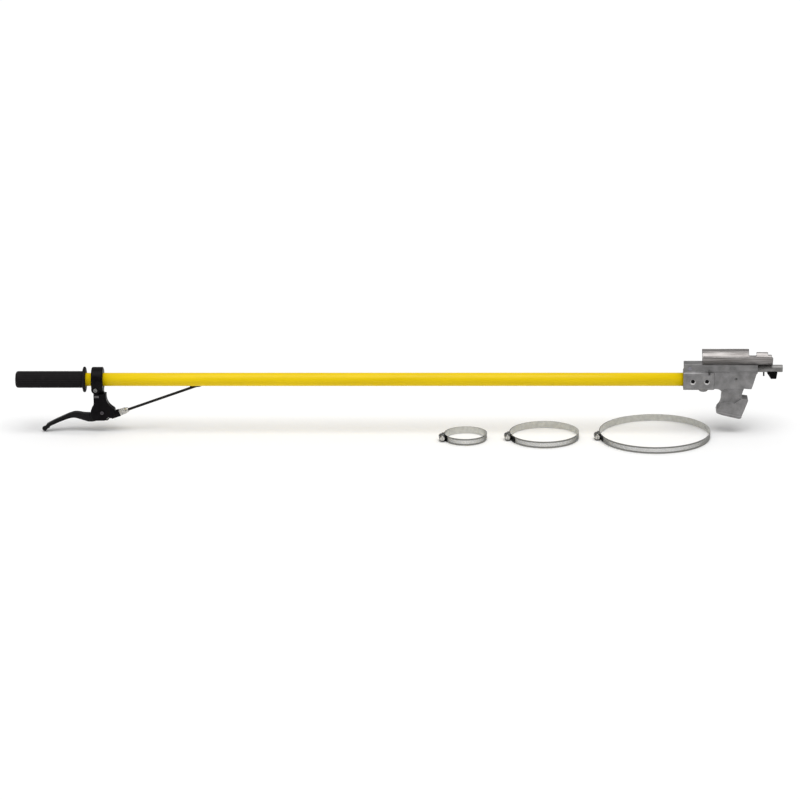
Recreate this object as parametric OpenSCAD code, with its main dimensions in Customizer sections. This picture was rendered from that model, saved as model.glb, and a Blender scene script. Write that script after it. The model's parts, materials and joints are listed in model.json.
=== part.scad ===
// Trigger pole for a powder-actuated nailer: grip and brake lever at one end,
// a cast head with a saddle and a pull rod at the other, and three hose clamps.
// The pole's axis is X, the head is at +X, and the lever hangs towards -Z.
// The origin is the middle of the hand grip, on the pole's axis.

/* [Pole] */
// Outside diameter of the pole
pole_d = 25.4; // [24:0.1:26]
// Wall thickness of the pole
pole_wall = 2; // [1.2:0.1:2.5]
// Distance from the grip's middle to the pole's far end
pole_reach = 1262; // [1000:1:1262]

/* [Hand grip] */
// Length of the ribbed part of the grip
grip_len = 129; // [110:1:132]
// Diameter over the grip's ribs
grip_d = 32; // [30:0.5:36]
// Diameter of the hand guard flange
flange_d = 49; // [42:0.5:54]
// Number of ribs round the grip
grip_ribs = 24; // [12:1:36]

/* [Lever] */
// Outside diameter of the bracket's clamp ring
ring_d = 48; // [44:0.5:52]
// Width of the clamp ring along the pole
ring_w = 22; // [18:0.5:24]
// Width of the lever blade
blade_w = 12; // [10:0.5:14]
// Distance from the pivot to the line of the inner wire
wire_arm = 12.5; // [11:0.1:13]
// Angle of the cable above the pole's axis
cable_rise = 19.6; // [19:0.1:20]

/* [Cable] */
// Outside diameter of the cable's sheath
sheath_d = 5; // [4.5:0.1:5.4]
// Diameter of the inner wire
wire_d = 1.6; // [1.2:0.1:2]

/* [Head] */
// Width of the socket block across the pole
block_w = 34; // [32:0.5:38]
// Width of the web under the saddle
web_w = 24; // [22:0.5:26]
// Inside radius of the saddle
saddle_r = 27; // [25:0.5:29]
// Thickness of the saddle's wall
saddle_wall = 4; // [3:0.1:4]
// Angle that the saddle wraps round
saddle_wrap = 144; // [130:2:150]
// Length of the saddle
saddle_len = 132; // [120:1:134]
// Diameter of the pull rod
rod_d = 14; // [12:0.1:14]

/* [Hose clamps] */
// Width of each clamp's band
band_w = 12.7; // [10:0.1:14]
// Thickness of each clamp's band
band_t = 0.7; // [0.5:0.05:0.8]
// Outside radii of the small, medium and large bands
band_r = [40, 65.5, 104.8];

/* [Hidden] */
$fn = 64;
eps = 0.02;
run_gap = 0.05;   // radial clearance of a running fit

yellow = [0.91, 0.79, 0.07];
black = [0.08, 0.07, 0.08];
cast_grey = [0.52, 0.51, 0.51];
bare_steel = [0.68, 0.68, 0.66];
zinc = [0.66, 0.65, 0.63];

pole_r = pole_d / 2;
pole_bore = pole_r - pole_wall;
pole_start = -58;
grip_start = -grip_len / 2 - 0.5;
flange_t = 5;

// Lever bracket, in the plane of the lever
ring_x = 80.5;
pivot = [98.6, -64.1];
fork_gap = 10.4;
fork_w = 17;
pinch = [88.4, -16.2];
ear_r = 8.2;
ear_face = -18;
slit_y = -3.5;
slit_t = 1.5;

// The cable's line passes wire_arm under the pivot; t runs along it, from the
// mouth of the adjuster, which is t = 0.
cable_dir = [cos(cable_rise), sin(cable_rise)];
foot = pivot + wire_arm * [sin(cable_rise), -cos(cable_rise)];
mouth_t = 48.3;
mouth = foot + mouth_t * cable_dir;
nipple_t = 3.35 - mouth_t;
thread_r = 3.4;
boss_r = 7.2;
boss_start = -36;
boss_end = -17.5;
nut_len = 4;
cup_depth = 6.8;

// Head
head_x = 1204.8;
block_low = -17;
block_top = 17.5;
web_top = 33.5;
rod_z = 21.5;
rod_r = rod_d / 2;
rod_back = 1326;
rod_front = 1392.5;
spring_wall = 1300;
ferrule_x = [1284, 1296];
sheath_end = 1288.5;
saddle_x = 1241;
saddle_z = 61;
saddle_out = saddle_r + saddle_wall;
pin_x = 1304.5;
finger_x = 1372.5;
flat_z = 15.2;

// Hose clamps
floor_z = -103;
clamp_names = ["small", "medium", "large"];
clamp_at = [[793, -53], [942, -44], [1151, -38]];
housing_at = [188, 187, 186];      // direction of each housing from its centre
tail_end = [6, 62, 118];           // direction in which each band's tail ends
screw_out = 5.3;                   // worm axis outside the band's outer face
worm_r = 4.2;
housing_w = band_w + 1.4;
housing_len = 13;

// The cable's entry into the pole
entry_t = 142;   // where the cable's line meets the pole's wall
grommet_r = 3.9;

// The sheath's route through the pole, as [x, z]
sheath_run = [
  [300, -5.4], [318, 0], [345, 3], [420, 4], [700, 4], [1000, 4],
  [1180, 4.4], [1225, 5.4], [1248, 6], [1260, 7.4], [1267.5, 11.6],
  [1274, 17], [1279.5, 20.6], [1284.5, rod_z]];

// ---------- shared functions and shapes ----------

function unit(v) = v / norm(v);

function blend(a, b, c, d, t) =
  (2 * b + (c - a) * t + (2 * a - 5 * b + 4 * c - d) * t * t
   + (3 * b - a - 3 * c + d) * t * t * t) / 2;

// An open smooth curve through the points, with n steps between neighbours
function curve(p, n) = let (last = len(p) - 1) concat(
  [for (i = [0 : last - 1], s = [0 : n - 1])
    blend(p[max(i - 1, 0)], p[i], p[i + 1], p[min(i + 2, last)], s / n)],
  [p[last]]);

function arc(c, r, a0, a1, n) =
  [for (i = [0 : n]) let (a = a0 + (a1 - a0) * i / n) c + r * [cos(a), sin(a)]];

function in_3d(p) = [for (q = p) [q[0], 0, q[1]]];

// A round tube swept along a path; side is a direction never along the path
module swept(path, r, sides, side) {
  n = len(path);
  rings = [for (i = [0 : n - 1])
    let (t = unit(path[min(i + 1, n - 1)] - path[max(i - 1, 0)]),
         u = unit(cross(side, t)), v = cross(t, u))
    for (k = [0 : sides - 1]) let (a = 360 * k / sides)
      path[i] + r * (cos(a) * u + sin(a) * v)];
  walls = [for (i = [0 : n - 2], k = [0 : sides - 1]) let (m = (k + 1) % sides)
    for (f = [[i * sides + k, (i + 1) * sides + k, (i + 1) * sides + m],
              [i * sides + k, (i + 1) * sides + m, i * sides + m]]) f];
  ends = [[for (k = [0 : sides - 1]) k],
          [for (k = [0 : sides - 1]) n * sides - 1 - k]];
  polyhedron(rings, concat(walls, ends));
}

// A rod along X
module bar_x(x0, x1, r, z = 0, y = 0) {
  translate([x0, y, z]) rotate([0, 90, 0]) cylinder(r = r, h = x1 - x0);
}

// A rod along Y
module bar_y(x, z, r, y0, y1) {
  translate([x, y1, z]) rotate([90, 0, 0]) cylinder(r = r, h = y1 - y0);
}

// A rod along Z
module bar_z(x, y, r, z0, z1) {
  translate([x, y, z0]) cylinder(r = r, h = z1 - z0);
}

// A plate with its outline in the XZ plane
module plate_y(outline, y0, y1) {
  translate([0, y1, 0]) rotate([90, 0, 0])
    linear_extrude(y1 - y0) polygon(outline);
}

// A block given by its low and high corners
module block(low, high) {
  translate(low) cube(high - low);
}

module rounded_rect(w, h, r) {
  square([w - 2 * r, h], center = true);
  square([w, h - 2 * r], center = true);
  for (x = [-1, 1], y = [-1, 1])
    translate([x * (w / 2 - r), y * (h / 2 - r)]) circle(r);
}

// Local Z becomes the cable's direction, starting t along its line
module on_cable(t) {
  p = mouth + t * cable_dir;
  translate([p[0], 0, p[1]]) rotate([0, 90 - cable_rise, 0]) children();
}

module hex_socket(size, depth) {
  cylinder(r = size / sqrt(3), h = depth, $fn = 6);
}

// A socket-head screw: head from 0 to head_h, shank on to -len
module cap_screw(r, len, head_r, head_h) {
  difference() {
    union() {
      translate([0, 0, -len]) cylinder(r = r, h = len + eps);
      cylinder(r = head_r, h = head_h);
    }
    translate([0, 0, head_h * 0.4]) hex_socket(r * 1.6, head_h);
  }
}

// ---------- pole ----------

module pole_tube() {
  color(yellow) difference() {
    bar_x(pole_start, pole_reach, pole_r);
    bar_x(pole_start - 1, pole_reach + 1, pole_bore);
    grommet_hole();
    for (x = pole_screw_x) bar_y(x, 0, 2, -pole_r - 1, 0);
  }
}

module grommet_hole() {
  on_cable(entry_t - 14) cylinder(r = grommet_r, h = 34);
}

module cable_grommet() {
  color(black) difference() {
    intersection() {
      on_cable(entry_t - 14) cylinder(r = grommet_r, h = 34);
      block([240, -6, -pole_r - 1.6], [310, 6, -pole_bore + 0.6]);
    }
    on_cable(entry_t - 40) cylinder(r = sheath_d / 2, h = 80);
  }
}

// ---------- grip ----------

module grip_ring(r) {
  difference() {
    circle(r);
    for (i = [0 : grip_ribs - 1]) rotate(360 * i / grip_ribs)
      translate([r + 0.55, 0]) circle(1.5, $fn = 24);
  }
}

module hand_grip() {
  flange_x = grip_start + grip_len;
  color(black) difference() {
    union() {
      translate([grip_start + 6, 0, 0]) rotate([0, 90, 0])
        linear_extrude(grip_len - 6) grip_ring(grip_d / 2);
      rotate([0, 90, 0]) rotate_extrude() grip_end();
      rotate([0, 90, 0]) translate([0, 0, flange_x]) rotate_extrude() flange();
    }
    bar_x(pole_start, flange_x + flange_t + 1, pole_r);
  }
}

// The closed end: a disc with a rounded rim, as a profile [radius, along]
module grip_end() {
  r = grip_d / 2 - 0.4;
  translate([0, grip_start]) polygon(concat(
    [[0, 6 + eps], [0, 0]], arc([r - 5, 5], 5, -90, 0, 8), [[r, 6 + eps]]));
}

module flange() {
  r = flange_d / 2;
  rim = flange_t / 2;
  polygon(concat([[pole_r - 1, 0]], arc([r - rim, rim], rim, -90, 90, 12),
                 [[pole_r - 1, flange_t]]));
}

// ---------- lever bracket ----------

bracket_outline = concat(
  [[83, -27]], [[83, -44]],
  curve([[82.6, -48], [80.5, -53], [77.6, -58]], 4),
  [[76.8, -62], [79.5, -75.5]],
  arc([86, -74], 6.2, 200, 270, 4), arc([101, -74.6], 5.6, 270, 340, 4),
  [[110.6, -72.6], [113, -75.6], [117, -74.8], [122, -70], [123.5, -60]],
  curve([[122, -57.2], [117, -53.6], [112, -48.5], [108.6, -42],
         [107.3, -36], [107, -27]], 4));

module lever_bracket() {
  color(black) difference() {
    union() {
      bar_x(ring_x, ring_x + ring_w, ring_d / 2 - 1);
      bar_x(ring_x + 1.2, ring_x + ring_w - 1.2, ring_d / 2);
      intersection() {
        plate_y(bracket_outline, -fork_w / 2, fork_w / 2);
        block([60, -20, -90], [140, 20, -27]);
      }
      block([83, slit_y + slit_t, -28], [102.5, fork_w / 2, -12]);
      bar_y(pinch[0], pinch[1], ear_r, ear_face, slit_y);
      bar_y(pinch[0], pinch[1], ear_r, slit_y + slit_t, 11);
      on_cable(boss_start) cylinder(r = boss_r, h = boss_end - boss_start);
    }
    bar_x(ring_x - 1, ring_x + 40, pole_r);
    block([ring_x - 1, slit_y, -27], [ring_x + ring_w + 1, slit_y + slit_t, 0]);
    block([ring_x - 1, -25, -27], [ring_x + ring_w + 6, slit_y + eps, -24.6]);
    bar_y(pinch[0], pinch[1], 2.5, ear_face - 1, 12);
    bar_y(pinch[0], pinch[1], 4.6, -30, ear_face);
    block([70, -fork_gap / 2, -90], [112.6, fork_gap / 2, -52]);
    bar_y(pivot[0], pivot[1], 2.5, -20, 20);
    on_cable(boss_start - 6) cylinder(r = thread_r + run_gap, h = 40);
  }
}

module clamp_bolt() {
  color(zinc) translate([pinch[0], ear_face, pinch[1]]) rotate([90, 0, 0])
    cap_screw(2.5, 28, 3.8, 3);
}

// ---------- lever ----------

// Blade: points down its middle line as [x, z, half depth]
blade_run = [
  [88, -72, 8.6], [76, -74.6, 8.4], [62.5, -72.6, 6.6], [48, -69.6, 5.6],
  [36, -71.5, 4.4], [22, -77, 3.6], [6, -84.2, 3.3], [-8, -91.4, 3]];
tip = [-13.3, -97.6, 4.9];

function normal(p, i) = let (
    d = unit([for (k = [0, 1]) p[min(i + 1, len(p) - 1)][k] - p[max(i - 1, 0)][k]]))
  [-d[1], d[0]];

module lever_outline(scale_depth) {
  run = curve(blade_run, 5);
  above = [for (i = [0 : len(run) - 1])
    [run[i][0], run[i][1]] - normal(run, i) * run[i][2] * scale_depth];
  below = [for (i = [len(run) - 1 : -1 : 0])
    [run[i][0], run[i][1]] + normal(run, i) * run[i][2] * scale_depth];
  polygon(concat(above, below));
}

nipple = mouth + nipple_t * cable_dir;
nipple_r = 3.5;
pocket_r = nipple_r + 0.7;

lever_travel = 30;
slot_half = 1.6;

// A point reach along the wire's line, to one side of it, with the lever turned by a
function slot_edge(a, side, reach) = let (b = cable_rise + a)
  nipple + side * slot_half * [-sin(b), cos(b)] + reach * [cos(b), sin(b)];

module lever_root() {
  plate_y(concat(arc(pivot, 8, 20, 130, 8), [[88, -64.4], [88, -81.2]],
                 arc(nipple, 6, 250, 375, 8)), -4.9, 4.9);
}

module brake_lever() {
  color([0.05, 0.05, 0.05]) difference() {
    union() {
      difference() {
        rotate([90, 0, 0]) linear_extrude(blade_w, center = true)
          lever_outline(1);
        block([74, -20, -100], [120, -4.9, 0]);
        block([74, 4.9, -100], [120, 20, 0]);
      }
      lever_root();
      translate([tip[0], 0, tip[1]]) sphere(r = tip[2]);
      plate_y([[-6, -87.6], [-3, -94.5], [-11.5, -100.5], [-15, -95]], -4.5, 4.5);
    }
    // channels in both sides of the blade
    for (y = [-1, 1]) translate([0, y * (blade_w / 2 + 1.5), 0]) rotate([90, 0, 0])
      linear_extrude(5, center = true) intersection() {
        lever_outline(0.62);
        translate([0, -120]) square([69, 100]);
      }
    bar_y(pivot[0], pivot[1], 2.5 + run_gap, -10, 10);
    bar_y(nipple[0], nipple[1], pocket_r, -10, 10);
    // slot for the wire, open over the lever's whole travel
    plate_y([slot_edge(0, -1, 0), slot_edge(0, -1, 18), slot_edge(lever_travel, 1, 18),
             slot_edge(lever_travel, 1, 0)], -1.5, 1.5);
  }
}

module lever_pivot_screw() {
  color(bare_steel) difference() {
    union() {
      bar_y(pivot[0], pivot[1], 2.5, -fork_w / 2, fork_w / 2 + 5);
      bar_y(pivot[0], pivot[1], 3.4, -fork_w / 2 - 2.4, -fork_w / 2);
    }
    translate([pivot[0], -fork_w / 2 - 2.4 - eps, pivot[1]]) rotate([-90, 0, 0])
      hex_socket(2.5, 1.6);
  }
}

module lever_pivot_nut() {
  color(bare_steel) difference() {
    translate([pivot[0], fork_w / 2 + 4, pivot[1]]) rotate([90, 0, 0])
      cylinder(r = 4.6, h = 4, $fn = 6);
    bar_y(pivot[0], pivot[1], 2.5, 0, 20);
  }
}

// ---------- cable ----------

module adjuster_barrel() {
  head_start = boss_end + nut_len + 0.2;
  color(zinc) difference() {
    union() {
      on_cable(boss_start + 6) cylinder(r = thread_r, h = head_start - boss_start - 6 + eps);
      on_cable(head_start) knurled(6.2, 7.5, 20);
      on_cable(head_start + 7.5 - eps) cylinder(r1 = 5.6, r2 = 4.3, h = -head_start - 7.5 + eps);
    }
    on_cable(boss_start) cylinder(r = wire_d / 2 + 0.35, h = 40);
    on_cable(-cup_depth) cylinder(r = sheath_d / 2 + 0.3, h = cup_depth + 1);
  }
}

// A short bar with grooves round its rim
module knurled(r, h, n) {
  linear_extrude(h) difference() {
    circle(r);
    for (i = [0 : n - 1]) rotate(360 * i / n) translate([r + 0.2, 0])
      circle(0.6, $fn = 16);
  }
}

module adjuster_locknut() {
  color(zinc) difference() {
    on_cable(boss_end) knurled(6.4, nut_len, 20);
    on_cable(boss_end - 1) cylinder(r = thread_r + run_gap, h = nut_len + 2);
  }
}

module cable_sheath() {
  start = mouth - (cup_depth - 0.3) * cable_dir;
  straight = [for (s = [0 : 4]) start + (146 * s / 4) * cable_dir];
  color([0.05, 0.05, 0.05])
    swept(in_3d(concat(straight, curve(sheath_run, 4), [[sheath_end, rod_z]])),
          sheath_d / 2, 10, [0, 1, 0]);
}

module wire_nipple() {
  color(bare_steel) difference() {
    bar_y(nipple[0], nipple[1], nipple_r, -4, 4);
    on_cable(nipple_t - 6) cylinder(r = wire_d / 2, h = 12);
  }
}

module lever_wire() {
  color(bare_steel) on_cable(nipple_t - 3)
    cylinder(r = wire_d / 2, h = -nipple_t + 3 - cup_depth);
}

// ---------- head ----------

pole_screw_x = [1222.7, 1249.3];
screw_seat = -13.2;   // y of the seat of each pole screw's head
web_rivet_at = [1217, 24.3];
leg_tenon = [[1287, -16], [1287, 8], [1290, 11], [1311, 11], [1314, 8], [1314, -16]];
cable_way = [[pole_reach - eps, 2], [pole_reach - eps, 13], [1268, 19],
             [1278, 25], [ferrule_x[0] + eps, 25], [ferrule_x[0] + eps, 18],
             [1279, 13], [1272, 7]];
cover_low = [1266, 5];
cover_high = [1332, 29.5];
cover_y = 9.5;
cover_screw_at = [[1270.5, 26], [1283, 8.5], [1328, 8.5]];

body_outline = concat(
  [[1255, block_top], [1255, -15], [1266, -15.4]],
  curve([[1270, -15.8], [1274, -17.4], [1278, -21]], 4),
  [[1282, -15.4], [1319.6, -15], [1333.8, -15.9], [1336.5, -8],
   [1343.3, 15], [1345, block_top]]);

module head_casting() {
  color(cast_grey) difference() {
    union() {
      // socket block round the pole
      translate([head_x, 0, (block_low + block_top) / 2]) rotate([0, 90, 0])
        rotate(90) linear_extrude(58) rounded_rect(block_w, block_top - block_low, 4);
      plate_y(body_outline, -14, 14);
      // web up to the saddle, a little thicker round the rod
      block([head_x + 1, -web_w / 2, 14], [1345, web_w / 2, web_top]);
      block([1294, -web_w / 2 - 0.8, block_top - 1], [1345, web_w / 2 + 0.8, 33]);
      // boss for the set screw
      bar_z(1243, 0, 9, -21, 0);
      bar_z(1243, 0, 7.5, -23, 0);
    }
    bar_x(head_x - 1, pole_reach, pole_r);
    plate_y(cable_way, -3.4, cover_y + eps);
    bar_x(ferrule_x[0] - eps, ferrule_x[1], 3.4, rod_z);
    bar_x(ferrule_x[1] - 1, spring_wall + 1, wire_d / 2 + 0.35, rod_z);
    bar_x(spring_wall, 1400, rod_r + run_gap, rod_z);
    bar_x(saddle_x, 1400, saddle_out, saddle_z);
    plate_y(leg_tenon, -8, 8);
    plate_y([cover_low, [cover_high[0], cover_low[1]], cover_high,
             [cover_low[0], cover_high[1]]], cover_y, 30);
    bar_y(pin_x, 4.5, 2.5, -20, 20);
    for (x = pole_screw_x) {
      bar_y(x, 0, 2, -20, -pole_r + 1);
      bar_y(x, 0, 3.8, -20, screw_seat);
    }
    bar_z(1243, 0, 3, -30, -pole_r + 1);
    bar_y(web_rivet_at[0], web_rivet_at[1], 2.6, -20, 20);
    for (p = cover_screw_at) bar_y(p[0], p[1], 1.5, 4, 12);
    for (x = saddle_screw_x) bar_z(x, 0, 2, 20, 40);
    // relief slot behind the socket
    block([1252, -20, 12.5], [1255.2, -web_w / 2 + 1.5, 22]);
  }
}

leg_outline = concat(
  [[1279, -15.4]], curve([[1277.6, -24], [1276.8, -34], [1276, -43.5], [1273.4, -49.4],
                          [1269, -54.4]], 3),
  arc([1272.6, -59], 4.6, 160, 245, 5), [[1282, -67]], [[1309, -73.3]],
  arc([1310.6, -68.4], 5, 265, 340, 5), [[1320, -59], [1327.7, -38.5], [1327, -35.7],
  [1316, -34.3]], [[1315.6, -28]], [[1319.6, -15.4]]);

module pistol_leg() {
  color(cast_grey) difference() {
    union() {
      // neck, trimmed to the body's underside
      difference() {
        intersection() {
          plate_y(leg_outline, -11, 11);
          block([1260, -20, -48], [1330, 20, -15]);
        }
        plate_y(body_outline, -15, 15);
      }
      // butt, wider than the neck
      intersection() {
        plate_y(leg_outline, -15, 15);
        plate_y([[1260, -41], [1275, -41.6], [1300, -44], [1315, -34], [1330, -34],
                 [1330, -80], [1260, -80]], -20, 20);
      }
      // rim round the bottom of the butt
      intersection() {
        translate([1296, 0, -58]) scale(1.03) translate([-1296, 0, 58])
          plate_y(leg_outline, -15.6, 15.6);
        plate_y([[1262, -58.5], [1321, -71.5], [1321, -80], [1262, -80]], -20, 20);
      }
      plate_y(leg_tenon, -8, 8);
    }
    bar_y(pin_x, 4.5, 2.5, -20, 20);
    // relief in the butt's underside
    translate([1293, 0, -71]) rotate([0, 13, 0]) cube([28, 20, 8], center = true);
  }
}

module leg_roll_pin() {
  color(bare_steel) difference() {
    bar_y(pin_x, 4.5, 2.5, -13.6, 8);
    bar_y(pin_x, 4.5, 1.3, -14, 9);
  }
}

module side_cover() {
  color(cast_grey) difference() {
    plate_y([cover_low, [cover_high[0], cover_low[1]], cover_high,
             [cover_low[0], cover_high[1]]], cover_y, 12);
    bar_x(saddle_x, 1400, saddle_out, saddle_z);
    for (p = cover_screw_at) bar_y(p[0], p[1], 1.5, 8, 13);
  }
}

module cover_screws() {
  color(bare_steel) for (p = cover_screw_at)
    translate([p[0], 12, p[1]]) rotate([-90, 0, 0]) cap_screw(1.5, 8, 2.7, 1.8);
}

module pole_screws() {
  color(bare_steel) for (x = pole_screw_x)
    translate([x, screw_seat, 0]) rotate([90, 0, 0])
      cap_screw(2, -screw_seat - pole_bore, 3.3, 1.6);
}

module set_screw() {
  color(bare_steel) difference() {
    bar_z(1243, 0, 3, -22, -pole_r);
    translate([1243, 0, -22 - eps]) hex_socket(3, 3);
  }
}

module web_rivet() {
  color([0.6, 0.6, 0.72]) {
    bar_y(web_rivet_at[0], web_rivet_at[1], 2.6, -web_w / 2, web_w / 2);
    for (y = [-1, 1]) translate([web_rivet_at[0], y * (web_w / 2 + 0.5), web_rivet_at[1]])
      rotate([90, 0, 0]) cylinder(r = 3.6, h = 1, center = true);
  }
}

// ---------- saddle ----------

saddle_screw_x = [1250, 1272];
notch_x = [1330, 1344];
lug_x = 1366;

// A point out along one edge of the trough, as [y, z] from its axis
function trough_edge(side) =
  60 * [side * sin(saddle_wrap / 2), -cos(saddle_wrap / 2)];

module saddle_channel() {
  color(cast_grey) difference() {
    bar_x(saddle_x, saddle_x + saddle_len, saddle_out, saddle_z);
    bar_x(saddle_x - 1, saddle_x + saddle_len + 1, saddle_r, saddle_z);
    // everything above the trough's two edges
    translate([saddle_x - 1, 0, saddle_z]) rotate([90, 0, 90])
      linear_extrude(saddle_len + 2) polygon([[0, 0], trough_edge(1), [60, 60], [-60, 60],
                                              trough_edge(-1)]);
    // far wall cut down for a strap, with a lug beyond the cut
    block([notch_x[0], 5, 40.5], [notch_x[1], 40, 70]);
    block([notch_x[1] - eps, 5, 46], [1400, 40, 70]);
    block([lug_x, 5, 41.5], [1400, 40, 70]);
    for (x = saddle_screw_x) {
      bar_z(x, 0, 2, 20, 40);
      translate([x, 0, saddle_z - saddle_r - 2.6])
        cylinder(r1 = 2, r2 = 4.6, h = 2.6 + eps);
      bar_z(x, 0, 4.6, saddle_z - saddle_r, saddle_z);
    }
    // corners of the front end taken off
    for (y = [-1, 1]) translate([saddle_x + saddle_len, y * 31, 52]) rotate([0, 45, 0])
      cube([4, 12, 4], center = true);
  }
}

module saddle_screws() {
  color(bare_steel) for (x = saddle_screw_x) difference() {
    union() {
      bar_z(x, 0, 2 - eps, 20, saddle_z - saddle_r);
      translate([x, 0, saddle_z - saddle_r - 2.6])
        cylinder(r1 = 2 - run_gap, r2 = 4.6 - run_gap, h = 2.6);
    }
    translate([x, 0, saddle_z - saddle_r - 1.6]) hex_socket(2.5, 2);
  }
}

// ---------- pull rod ----------

wire_depth = 9;
pin_rod_x = 1357;

module trigger_rod() {
  color(cast_grey) difference() {
    union() {
      bar_x(rod_back, rod_front - 1, rod_r, rod_z);
      translate([rod_front - 1 - eps, 0, rod_z]) rotate([0, 90, 0])
        cylinder(r1 = rod_r, r2 = rod_r - 1, h = 1 + eps);
    }
    block([finger_x - 11.5, -10, 0], [finger_x + 12, 10, flat_z]);
    bar_x(rod_back - 1, rod_back + wire_depth, wire_d / 2, rod_z);
    bar_z(rod_back + 5, 0, 1.5, 0, rod_z - wire_d / 2 + 0.1);
    bar_z(pin_rod_x, 0, 1.5, 0, rod_z);
    bar_z(finger_x + 2, 0, 2, 0, rod_z + 1);
  }
}

module rod_return_spring() {
  turns = 6;
  steps = 14;
  coil_r = 5.5;
  inset = 0.7;
  length = rod_back - spring_wall - 2 * inset;
  path = [for (i = [0 : turns * steps]) let (a = 360 * i / steps)
    [spring_wall + inset + length * i / (turns * steps),
     coil_r * cos(a), rod_z + coil_r * sin(a)]];
  color(bare_steel) swept(path, 0.6, 6, [1, 0, 0]);
}

module head_wire() {
  color(bare_steel) bar_x(sheath_end + 7, rod_back + wire_depth, wire_d / 2, rod_z);
}

module wire_grub_screw() {
  color(bare_steel) bar_z(rod_back + 5, 0, 1.5, rod_z - rod_r + 0.4, rod_z - wire_d / 2);
}

module trigger_finger() {
  color([0.03, 0.03, 0.03]) difference() {
    plate_y([[finger_x - 9.7, flat_z], [finger_x - 9.7, 14], [finger_x - 2.2, 2.4],
             [finger_x + 8, 2.4], [finger_x + 10, 14], [finger_x + 10, flat_z]], -6, 6);
    bar_z(finger_x + 2, 0, 2, 0, 20);
    bar_z(finger_x + 2, 0, 3.6, 0, 5.5);
  }
}

module finger_screw() {
  color(bare_steel) translate([finger_x + 2, 0, 5.5]) rotate([180, 0, 0])
    cap_screw(2, 17, 3.6, 2.4);
}

module travel_stop_pin() {
  color(black) bar_z(pin_rod_x, 0, 1.5, 6.6, rod_z);
}

module head_ferrule() {
  color(bare_steel) difference() {
    bar_x(ferrule_x[0] + 0.2, ferrule_x[1], 3.4, rod_z);
    bar_x(ferrule_x[0] - 1, sheath_end + 0.1, sheath_d / 2 + 0.2, rod_z);
    bar_x(sheath_end - 1, 1400, wire_d / 2 + 0.35, rod_z);
  }
}

// ---------- hose clamps ----------

// Local frame at the housing: X along the band, Y outwards, origin on its outer face
module at_housing(i) {
  translate([clamp_at[i][0], clamp_at[i][1], floor_z + housing_w / 2])
    rotate(housing_at[i]) translate([band_r[i], 0, 0]) rotate(-90) children();
}

module clamp_band(i) {
  color(bare_steel) translate([clamp_at[i][0], clamp_at[i][1],
                               floor_z + (housing_w - band_w) / 2]) {
    rotate_extrude($fn = 128) translate([band_r[i] - band_t, 0])
      square([band_t, band_w]);
    rotate(tail_end[i]) rotate_extrude(angle = housing_at[i] - tail_end[i] + 6, $fn = 128)
      translate([band_r[i] - 0.1, 0]) square([band_t + 0.1, band_w]);
  }
}

module clamp_housing(i) {
  color(bare_steel) difference() {
    at_housing(i) union() {
      rotate([0, 90, 0]) translate([0, screw_out, -housing_len / 2])
        cylinder(r = worm_r + 1.3, h = housing_len);
      translate([-housing_len / 2, -band_t + 0.1, -housing_w / 2])
        cube([housing_len, screw_out + band_t - 1, housing_w]);
    }
    at_housing(i) rotate([0, 90, 0]) translate([0, screw_out, -20])
      cylinder(r = worm_r + 0.3, h = 40);
    translate([clamp_at[i][0], clamp_at[i][1], floor_z + (housing_w - band_w) / 2])
      rotate_extrude($fn = 128) translate([band_r[i] - 5, 0])
        square([5 + band_t + 0.05, band_w]);
    // window over the band, where the worm reaches it
    at_housing(i) translate([-housing_len, band_t - 0.5, -4.2])
      cube([2 * housing_len, 2.5, 8.4]);
  }
}

module worm_profile() {
  pitch = 1.9;
  half = housing_len / 2 + 0.2;
  teeth = floor(2 * half / pitch);
  polygon(concat([[0, -half]], [for (k = [0 : teeth - 1], p = [[3.4, 0], [worm_r, 0.35],
    [worm_r, 0.75], [3.4, 1.1]]) [p[0], -half + k * pitch + p[1] * pitch / 1.45]],
    [[3.4, half], [0, half]]));
}

module clamp_worm(i) {
  color(zinc) at_housing(i) translate([0, screw_out, 0]) rotate([0, -90, 0])
    difference() {
      union() {
        rotate_extrude() worm_profile();
        translate([0, 0, housing_len / 2 + 0.2 - eps]) cylinder(r = 4.6, h = 1.2);
        translate([0, 0, housing_len / 2 + 1.4 - 2 * eps]) cylinder(r = 4.5, h = 4.4, $fn = 6);
      }
      translate([0, 0, housing_len / 2 + 5.4]) cube([1.2, 12, 2.8], center = true);
    }
}

module small_band() clamp_band(0);
module small_housing() clamp_housing(0);
module small_worm_screw() clamp_worm(0);
module medium_band() clamp_band(1);
module medium_housing() clamp_housing(1);
module medium_worm_screw() clamp_worm(1);
module large_band() clamp_band(2);
module large_housing() clamp_housing(2);
module large_worm_screw() clamp_worm(2);

pole_tube();
cable_grommet();
hand_grip();
lever_bracket();
clamp_bolt();
brake_lever();
lever_pivot_screw();
lever_pivot_nut();
adjuster_barrel();
adjuster_locknut();
cable_sheath();
wire_nipple();
lever_wire();
head_ferrule();
head_casting();
pistol_leg();
leg_roll_pin();
side_cover();
cover_screws();
pole_screws();
set_screw();
web_rivet();
saddle_channel();
saddle_screws();
trigger_rod();
rod_return_spring();
head_wire();
wire_grub_screw();
trigger_finger();
finger_screw();
travel_stop_pin();
small_band();
small_housing();
small_worm_screw();
medium_band();
medium_housing();
medium_worm_screw();
large_band();
large_housing();
large_worm_screw();
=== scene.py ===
# %% [markdown]
# # A trigger pole for a powder-actuated nailer
#
# A worker holds the ribbed grip and squeezes a bicycle-type lever. A cable runs up the yellow pole
# and pulls a short rod in the cast head, which fires the nailer that is strapped in the saddle.
# The shapes that fit and move are already packed as CAD nodes. This lesson gives each of them the
# surface of the real thing: rubber, paint, cast metal, zinc and stainless steel.

# %% Load the frame
import json
import math

import bmesh
import bpy
import numpy as np
from mathutils import Matrix, Vector


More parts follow.
